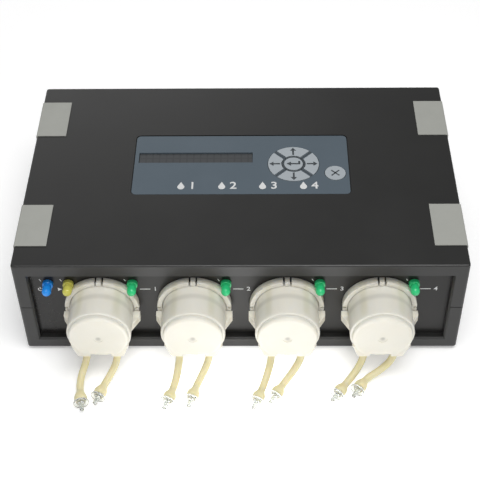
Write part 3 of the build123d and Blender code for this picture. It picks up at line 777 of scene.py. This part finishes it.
# Each tail's bends as steps in millimetres from its start inside the lug, heads from left to right
# and the left tail first.
TAIL_ROUTES = (
    (((0, 0, -5.8), (-1.7, -2.8, -11.1), (-3.7, -8.2, -14.6), (-3.9, -16.2, -16.0), (-2.3, -24.0, -16.3)),
     ((0, 0, -5.8), (-1.4, -2.7, -11.1), (-4.3, -7.4, -14.6), (-7.6, -13.8, -16.0), (-9.7, -20.0, -16.3))),
    (((0, 0, -5.8), (-0.6, -2.9, -11.2), (-1.6, -8.5, -14.6), (-3.3, -16.0, -16.0), (-5.8, -23.0, -16.3)),
     ((0, 0, -5.8), (-1.5, -2.6, -11.1), (-4.3, -7.6, -14.5), (-7.5, -14.5, -16.0), (-9.5, -21.6, -16.3))),
    (((0, 0, -5.8), (-0.9, -2.8, -11.1), (-2.7, -8.2, -14.6), (-5.2, -15.6, -16.0), (-8.0, -23.0, -16.3)),
     ((0, 0, -5.8), (-2.0, -2.4, -11.1), (-6.0, -6.9, -14.6), (-10.7, -13.1, -16.0), (-14.5, -19.6, -16.3))),
    (((0, 0, -5.8), (-1.8, -2.4, -11.1), (-5.5, -6.8, -14.6), (-10.3, -12.6, -16.0), (-14.6, -18.4, -16.3)),
     ((0, 0, -5.8), (-2.9, -2.0, -11.0), (-8.6, -4.9, -14.6), (-16.0, -9.4, -16.0), (-19.9, -15.6, -16.3))),
)


class Side(Enum):
    """The two tubes of a head."""

    LEFT = -1
    RIGHT = 1


@dataclass
class Tubing(Section):
    """The loose tails with their flared ends and clear hose connectors.

    Attributes:
        tube_mm: the tube's outside diameter.
        flare_mm: its outside radius where it is stretched over the connector.
        flare_long_mm: how long the stretched end is.
        disc_mm: the connector disc's radius.
        disc_thick_mm: how thick the disc is.
        tip_mm: the connector tip's radius.
        tip_long_mm: how far the tip reaches beyond the disc.
        bore_mm: the radius of the hole right through.
    """

    tube_mm: float = 4.0
    flare_mm: float = 3.45
    flare_long_mm: float = 7.0
    disc_mm: float = 4.2
    disc_thick_mm: float = 1.0
    tip_mm: float = 1.25
    tip_long_mm: float = 4.6
    bore_mm: float = 0.6

    def route(self, head: int, side: Side) -> list[Vector]:
        """The control points of one tail, in metres."""
        start = Vector((HEAD_XS[head] + side.value * OUTLET_X, OUTLET_Y, TAIL_TOP))
        steps = TAIL_ROUTES[head][0 if side is Side.LEFT else 1]
        return [start * MM] + [(start + Vector(step)) * MM for step in steps]

    def line(self, name: str, points: Sequence[Vector]) -> bpy.types.Curve:
        """One open smooth spline through a tail's control points.

        Args:
            name: the curve's name.
            points: its control points.

        Returns:
            A curve with no thickness yet.
        """
        data = bpy.data.curves.new(name, "CURVE")
        data.dimensions = "3D"
        data.resolution_u = 12
        spline = data.splines.new("NURBS")
        spline.points.add(len(points) - 1)
        for slot, point in zip(spline.points, points):
            slot.co = (*point, 1.0)
        spline.order_u = 3
        spline.use_endpoint_u = True
        return data

    def tail(self, name: str, points: Sequence[Vector]) -> Piece:
        """The plain round tube of one tail."""
        data = self.line(name, points)
        data.bevel_depth = self.tube_mm / 2 * MM
        data.bevel_resolution = 6
        data.use_fill_caps = True
        data.materials.append(self.palette.get(self.palette.tube_silicone))
        return linked(name, data)

    def flare_tree(self) -> Tree:
        """A tree that follows a tail's last stretch and widens smoothly towards its end."""
        tree, given, output = new_geometry_tree("flared_end", {
            "Start": ("NodeSocketFloat", 0.02), "End": ("NodeSocketFloat", 0.03),
            "Thin": ("NodeSocketFloat", 0.002), "Wide": ("NodeSocketFloat", 0.0034)})
        last = add_node(tree, "GeometryNodeTrimCurve", {"mode": "LENGTH"},
                        {"Curve": given.outputs["Geometry"]})
        tree.links.new(given.outputs["Start"], last.inputs[4])
        tree.links.new(given.outputs["End"], last.inputs[5])
        even = add_node(tree, "GeometryNodeResampleCurve", None,
                        {"Curve": last.outputs["Curve"], "Count": 28})
        along = add_node(tree, "GeometryNodeSplineParameter")
        swell = add_node(tree, "ShaderNodeMapRange", {"interpolation_type": "SMOOTHSTEP"},
                         {"Value": along.outputs["Factor"], "From Min": 0.0, "From Max": 0.62,
                          "To Min": given.outputs["Thin"], "To Max": given.outputs["Wide"]})
        tuck = add_node(tree, "ShaderNodeMapRange", {"interpolation_type": "SMOOTHSTEP"},
                        {"Value": along.outputs["Factor"], "From Min": 0.78, "From Max": 1.0,
                         "To Min": 1.0, "To Max": 0.72})
        width = add_node(tree, "ShaderNodeMath", {"operation": "MULTIPLY"},
                         {0: swell.outputs["Result"], 1: tuck.outputs["Result"]})
        ring = add_node(tree, "GeometryNodeCurvePrimitiveCircle", inputs={"Resolution": 36, "Radius": 1.0})
        tube = add_node(tree, "GeometryNodeCurveToMesh",
                        inputs={"Curve": even.outputs["Curve"], "Profile Curve": ring.outputs["Curve"],
                                "Scale": width.outputs[0], "Fill Caps": True})
        close_tree(tree, output, tube.outputs["Mesh"], self.palette.get(self.palette.tube_silicone))
        return tree

    def flare(self, name: str, points: Sequence[Vector], tree: Tree) -> Piece:
        """The stretched end of one tail, which the connector sits in."""
        data = self.line(name + "_line", points)
        bare = bpy.data.objects.new("bare_line", data)
        mesh = bpy.data.meshes.new_from_object(bare)
        places = [v.co for v in mesh.vertices]
        long = sum((b - a).length for a, b in zip(places, places[1:]))
        bpy.data.objects.remove(bare)
        bpy.data.meshes.remove(mesh)
        sizes = {"Start": long - self.flare_long_mm * MM, "End": long - 0.1 * MM,
                 "Thin": (self.tube_mm / 2 + 0.03) * MM, "Wide": self.flare_mm * MM}
        return node_result(name, data, tree, sizes)

    def connector_outline(self) -> list[Flat]:
        """The outline of a connector's disc and tip, from its bore outwards."""
        rim, thick, tip = self.disc_mm, self.disc_thick_mm, self.tip_mm
        end = thick + self.tip_long_mm
        points = [(self.bore_mm, 0.02), (rim - 0.3, 0.02)]
        points += arc((rim - 0.3, 0.32), 0.3, -90, 0, 3)
        points += arc((rim - 0.3, thick - 0.1), 0.3, 0, 90, 3)
        points += [(rim - 0.9, thick + 0.1), (rim - 1.2, thick - 0.15), (tip + 0.8, thick - 0.15)]
        points += arc((tip + 0.6, thick + 0.45), 0.6, 270, 180, 4)
        points += [(tip, end - 0.9), (tip - 0.08, end - 0.85), (tip - 0.08, end - 0.6), (tip, end - 0.55)]
        points += [(tip - 0.3, end), (self.bore_mm, end)]
        return [(r * MM, z * MM) for r, z in points]

    def connectors(self, head: int) -> Piece:
        """Both connectors of one head, as one piece."""
        parts = []
        for side in Side:
            points = self.route(head, side)
            part = turned(self.connector_outline(), 48)
            part.transform(pointing(points[-1], points[-1] - points[-2]))
            parts.append(part)
        clear = self.palette.get(self.palette.clear_ps)
        return mesh_piece(f"hose_connectors_{head + 1}", joined(parts), clear, 40.0)

    def build(self) -> None:
        tree = self.flare_tree()
        for head in range(len(HEAD_XS)):
            body = f"head_{head + 1}"
            connectors = placed(self.connectors(head), body, "connector_clear", f"tube_connectors_{head + 1}")
            for side in Side:
                word = side.name.lower()
                points = self.route(head, side)
                flare = self.flare(f"flared_end_{head + 1}_{word}", points, tree)
                placed(flare, body, "tube_silicone")
                tail = self.tail(f"tube_tail_{head + 1}_{word}", points)
                placed(tail, body, "tube_silicone", f"tail_{head + 1}_{word}")


# ---- Marks ----

INK_MM = 0.05


def word_shape(word: str, height: float) -> Shape:
    """A printed numeral as a thin solid, centred on the origin.

    Args:
        word: what is printed.
        height: the height of a numeral, in metres.

    Returns:
        The shape, facing up.
    """
    data = bpy.data.curves.new("word", "FONT")
    data.body = word
    data.size = height * 1.42
    data.extrude = INK_MM / 2 * MM
    data.offset = height * 0.022
    data.align_x = "CENTER"
    data.align_y = "CENTER"
    item = bpy.data.objects.new("word", data)
    mesh = bpy.data.meshes.new_from_object(item)
    made = bmesh.new()
    made.from_mesh(mesh)
    bpy.data.objects.remove(item)
    bpy.data.meshes.remove(mesh)
    return made


def mark_shape(outlines: Sequence[Sequence[Flat]]) -> Shape:
    """Printed shapes as thin solids, from outlines in millimetres."""
    return raised([[(x * MM, y * MM) for x, y in outline] for outline in outlines], INK_MM * MM)


def drop_outline(radius: float) -> list[Flat]:
    """The outline of a drop of liquid."""
    return arc((0, 0), radius, 28, -208, 22) + [(0, 2.1 * radius)]


def arrow_outline(long: float, shaft: float, head: float, wide: float) -> list[Flat]:
    """The outline of a plain arrow that points along X.

    Args:
        long: its whole length.
        shaft: half the width of its shaft.
        head: how long its head is.
        wide: half the width of its head.

    Returns:
        Its corners, centred on the origin.
    """
    back, neck, tip = -long / 2, long / 2 - head, long / 2
    return [(back, -shaft), (neck, -shaft), (neck, -wide), (tip, 0), (neck, wide), (neck, shaft),
            (back, shaft)]


def return_outline(long: float, shaft: float, head: float, wide: float, rise: float) -> list[Flat]:
    """The outline of a return arrow: it points to the left and hooks up at its right end."""
    tip, neck, end = -long / 2, -long / 2 + head, long / 2
    return [(tip, 0), (neck, wide), (neck, shaft), (end - 2 * shaft, shaft), (end - 2 * shaft, rise),
            (end, rise), (end, -shaft), (neck, -shaft), (neck, -wide)]


def bar_outline(long: float, wide: float, turn_deg: float) -> list[Flat]:
    """The outline of a bar, turned about the origin."""
    c, s = math.cos(math.radians(turn_deg)), math.sin(math.radians(turn_deg))
    corners = [(-long / 2, -wide / 2), (long / 2, -wide / 2), (long / 2, wide / 2), (-long / 2, wide / 2)]
    return [(x * c - y * s, x * s + y * c) for x, y in corners]


def ring_outline(outer: float, inner: float, open_deg: float) -> list[Flat]:
    """The outline of a ring with a gap at its top."""
    start, end = 90 + open_deg / 2, 450 - open_deg / 2
    return arc((0, 0), outer, start, end, 26) + arc((0, 0), inner, end, start, 26)


def lying(x: float, y: float, z: float, turn_deg: float = 0.0) -> Matrix:
    """A place on a level face, in millimetres."""
    return Matrix.Translation((x * MM, y * MM, z * MM)) @ Matrix.Rotation(math.radians(turn_deg), 4, "Z")


def standing(x: float, y: float, z: float) -> Matrix:
    """A place on an upright face that looks to the front, in millimetres."""
    return Matrix.Translation((x * MM, y * MM, z * MM)) @ Matrix.Rotation(math.radians(90), 4, "X")


def put(made: Shape, place: Matrix) -> Shape:
    """Moves a shape to its place and gives it back."""
    made.transform(place)
    return made


# ---- Case ----


@dataclass
class Case(Section):
    """The two shells, the rear panel, the corner pads, the screws and the feet.

    Attributes:
        foot_places: the middle of each foot, in millimetres.
        foot_mm: a foot's radius at the table.
        foot_top_mm: how far up a foot reaches.
    """

    foot_places: tuple[Flat, ...] = ((-92, -50), (92, -50), (-92, 72), (92, 72))
    foot_mm: float = 6.0
    foot_top_mm: float = 2.0

    def feet(self) -> Piece:
        """Four round feet with a softened rim and a shallow dimple below."""
        radius, top = self.foot_mm, self.foot_top_mm
        outline = [(0.0, 0.35), (radius * 0.45, 0.35), (radius * 0.55, 0.0)]
        outline += arc((radius - 0.5, 0.5), 0.5, 270, 360, 5)
        outline += [(radius - 0.25, top), (0.0, top)]
        made = turned([(r * MM, z * MM) for r, z in outline], 56)
        foot = mesh_piece("foot_pattern", made, self.palette.get(self.palette.foot_rubber))
        tree = scatter_tree("feet", foot, self.palette.get(self.palette.foot_rubber))
        spots = points_mesh("foot_spots", [(x * MM, y * MM, 0.0) for x, y in self.foot_places])
        feet = node_result("rubber_feet_detail", spots, tree, {"Size": 1.0})
        bpy.data.objects.remove(foot)
        return placed(feet, "case", "foot_rubber", "rubber_feet")

    def build(self) -> None:
        """Dresses the case."""
        look = self.palette
        look.dress(look.case_abs, "top_shell", "bottom_shell")
        look.dress(look.panel_lacquer, "rear_panel")
        look.dress(look.pad_pvc, "corner_pads")
        look.dress(look.screw_steel, "case_screws")
        self.feet()


# ---- Keypad ----


@dataclass
class Keypad(Section):
    """The printed film with its display window and six keys.

    Attributes:
        film_top: how high the film's face is.
        key_top: how high the keys' faces are.
        pad_centre: the middle of the round pad of keys.
        arrow_out: how far from it each arrow is printed.
        escape_centre: the middle of the escape key.
        channel_xs: where each channel's drop is printed.
        channel_y: how far back the drops are printed.
        drop_mm: a drop's radius.
        drop_low: how far in front of its numeral a drop is centred.
        numeral_mm: a numeral's height.
        mark_out: how far a drop and its numeral are to either side.
        line_radii: where the lines between the keys start and end.
        line_mm: how wide those lines are.
    """

    film_top: float = 67.7
    key_top: float = 67.9
    pad_centre: Flat = (29.7, 15.9)
    arrow_out: float = 10.6
    escape_centre: Flat = (53.1, 8.1)
    channel_xs: tuple[float, ...] = (-30.3, -7.5, 15.3, 38.1)
    channel_y: float = -2.2
    drop_mm: float = 1.95
    drop_low: float = 0.9
    numeral_mm: float = 5.6
    mark_out: float = 3.2
    line_radii: Flat = (6.1, 14.6)
    line_mm: float = 0.75

    def key_mark(self, key: str, outlines: Sequence[Sequence[Flat]], centre: Flat,
                 turn_deg: float = 0.0) -> None:
        """Prints a dark sign on one key.

        Args:
            key: the key's body.
            outlines: the sign's outlines, in millimetres.
            centre: where it is printed.
            turn_deg: how far it is turned.
        """
        made = put(mark_shape(outlines), lying(*centre, self.key_top, turn_deg))
        piece = mesh_piece(f"{key}_sign", made, self.palette.get(self.palette.dark_ink), 20.0)
        placed(piece, key, "key_film")

    def key_marks(self) -> None:
        """Prints the arrows, the return sign and the escape sign."""
        x, y = self.pad_centre
        arrow = arrow_outline(6.2, 0.52, 2.4, 1.8)
        for key, turn in (("key_right", 0.0), ("key_up", 90.0), ("key_left", 180.0), ("key_down", 270.0)):
            c, s = math.cos(math.radians(turn)), math.sin(math.radians(turn))
            self.key_mark(key, [arrow], (x + self.arrow_out * c, y + self.arrow_out * s), turn)
        self.key_mark("key_enter", [return_outline(7.8, 0.55, 2.5, 1.8, 2.3)], (x, y))
        cross = [bar_outline(6.2, 0.8, turn) for turn in (45, 135)]
        self.key_mark("key_escape", cross, self.escape_centre)

    def film_marks(self) -> None:
        """Prints a numbered drop for each channel, in white, below the display."""
        parts = []
        for number, x in enumerate(self.channel_xs, start=1):
            drop = mark_shape([drop_outline(self.drop_mm)])
            parts.append(put(drop, lying(x - self.mark_out, self.channel_y - self.drop_low, self.film_top)))
            numeral = word_shape(str(number), self.numeral_mm * MM)
            parts.append(put(numeral, lying(x + self.mark_out, self.channel_y, self.film_top)))
        piece = mesh_piece("film_marks", joined(parts), self.palette.get(self.palette.white_ink), 20.0)
        placed(piece, "case", "overlay_film")

    def pad_lines(self) -> Piece:
        """Prints the dark lines that part the keys of the round pad."""
        x, y = self.pad_centre
        inner, outer = self.line_radii
        wide, narrow = inner + self.line_mm / 2, inner - self.line_mm / 2
        lines = [arc((0, 0), wide, start, start + 180, 30) + arc((0, 0), narrow, start + 180, start, 30)
                 for start in (0, 180)]
        for turn in (45, 135, 225, 315):
            c, s = math.cos(math.radians(turn)), math.sin(math.radians(turn))
            middle = (inner + outer) / 2
            bar = bar_outline(outer - inner, self.line_mm, turn)
            lines.append([(px + middle * c, py + middle * s) for px, py in bar])
        made = put(mark_shape(lines), lying(x, y, self.film_top))
        piece = mesh_piece("pad_lines", made, self.palette.get(self.palette.dark_ink), 20.0)
        return placed(piece, "case", "overlay_film")

    def build(self) -> None:
        """Dresses and prints the keypad."""
        look = self.palette
        look.dress(look.overlay_film, "keypad_overlay")
        look.dress(look.display_glass, "lcd_module")
        look.dress(look.key_film, "key_up", "key_left", "key_down", "key_right", "key_enter", "key_escape")
        self.key_marks()
        self.film_marks()
        self.pad_lines()


# ---- Front panel ----


@dataclass
class FrontPanel(Section):
    """The lacquered panel with its lamps, its printed signs, a numbered line beside each channel's lamp and a
    painted glint beside every lamp.

    Attributes:
        face_y: where its face is.
        lamp_z: how high the lamps sit.
        sign_z: how high the signs are printed.
        power_x: where the power lamp is.
        running_x: where the running lamp is.
        channel_out: how far each channel's lamp is from its head's axis.
    """

    face_y: float = -60.0
    lamp_z: float = 50.6
    sign_z: float = 45.9
    power_x: float = -102.8
    running_x: float = -91.8
    channel_out: float = 17.4

    def lamp_places(self) -> list[Point]:
        """The axis of every lamp at the panel's face, in metres."""
        xs = [self.power_x, self.running_x] + [x + self.channel_out for x in HEAD_XS]
        return [(x * MM, self.face_y * MM, self.lamp_z * MM) for x in xs]

    def lead_frames(self) -> Piece:
        """The metal posts and cup that show inside each lamp's epoxy."""
        posts = []
        # Each post's place across, its width and how far forward it reaches.
        for x, wide, front in ((-0.75, 0.8, -5.4), (0.8, 0.5, -5.0)):
            made = bmesh.new()
            bmesh.ops.create_cube(made, size=1.0)
            made.transform(Matrix.Translation((x * MM, (front + 0.3) / 2 * MM, 0))
                           @ Matrix.Diagonal((wide * MM, (0.3 - front) * MM, 0.4 * MM, 1)))
            posts.append(made)
        cup_outline = ((0.0, 0.0), (0.55, 0.0), (0.75, 0.6), (0.62, 0.6), (0.35, 0.15), (0.0, 0.15))
        cup = turned([(r * MM, z * MM) for r, z in cup_outline], 20)
        posts.append(put(cup, standing(-0.6, -5.4, 0)))
        steel = self.palette.get(self.palette.screw_steel)
        pattern = mesh_piece("lead_frame_pattern", joined(posts), steel, 30.0)
        tree = scatter_tree("lead_frames", pattern, steel)
        spots = points_mesh("lamp_spots", self.lamp_places())
        frames = node_result("lamp_lead_frames", spots, tree, {"Size": 1.0})
        bpy.data.objects.remove(pattern)
        return placed(frames, "case", "screw_steel")

    def signs(self) -> Piece:
        """A power sign, a running sign, a line with a numeral beside each channel's lamp, and a painted glint
        at the upper left of every lamp.
        """
        y = self.face_y
        left = self.power_x - 4.6
        stem = [(-0.22, 0.2), (0.22, 0.2), (0.22, 1.7), (-0.22, 1.7)]
        parts = [put(mark_shape([ring_outline(1.35, 0.9, 80), stem]), standing(left, y, self.sign_z)),
                 put(mark_shape([[(-1.0, -1.25), (1.2, 0.0), (-1.0, 1.25)]]),
                     standing(self.running_x - 5.2, y, self.sign_z))]
        for number, x in enumerate(HEAD_XS, start=1):
            parts.append(put(mark_shape([bar_outline(5.6, 0.55, 0)]), standing(x + 23.9, y, self.sign_z)))
            parts.append(put(word_shape(str(number), 2.9 * MM), standing(x + 29.4, y, self.sign_z)))
        # A short white bar at the upper left of each lamp: a painted glint on the rim of the lamp's hole.
        for place_x, _, place_z in self.lamp_places():
            painted_glint = mark_shape([bar_outline(1.7, 0.45, 118)])
            parts.append(put(painted_glint, standing(place_x / MM - 3.9, y, place_z / MM + 2.4)))
        piece = mesh_piece("panel_signs", joined(parts), self.palette.get(self.palette.white_ink), 20.0)
        return placed(piece, "case", "panel_black")

    def build(self) -> None:
        """Dresses and prints the panel and its lamps."""
        look = self.palette
        look.dress(look.panel_lacquer, "front_panel")
        look.dress(look.blue_epoxy, "led_power")
        look.dress(look.yellow_epoxy, "led_running")
        look.dress(look.green_epoxy, "channel_leds")
        self.lead_frames()
        self.signs()


# ---- Heads and what drives them ----


@dataclass
class PumpHeads(Section):
    """The four milky heads with the rotors and rollers inside them."""

    def build(self) -> None:
        """Dresses every head."""
        look = self.palette
        look.dress(look.milky_pp, "head_mounts")
        for number in range(1, len(HEAD_XS) + 1):
            look.dress(look.milky_pp, f"head_cover_{number}")
            look.dress(look.tube_silicone, f"pump_tube_{number}")
            look.dress(look.acetal, f"rotor_{number}", *(f"roller_{number}_{mark}" for mark in "abc"))


@dataclass
class Electronics(Section):
    """The boards, the gear motors, their screws and the power inlet."""

    def build(self) -> None:
        """Dresses what is behind the panels."""
        look = self.palette
        look.dress(look.circuit_board, "keypad_board", "control_board")
        look.dress(look.motor_steel, "gear_motors")
        look.dress(look.screw_steel, "motor_screws")
        look.dress(look.inlet_nylon, "dc_inlet")


def main() -> None:
    """Builds the whole visual model of the dosing pump."""
    logging.basicConfig(level=logging.INFO)
    palette = Palette()
    stage = Stage(palette)
    stage.camera()
    Tubing(palette).build()
    stage.table()
    stage.light()
    for kind in (Case, Keypad, FrontPanel, PumpHeads, Electronics):
        kind(palette).build()


if __name__ == "__main__":
    main()
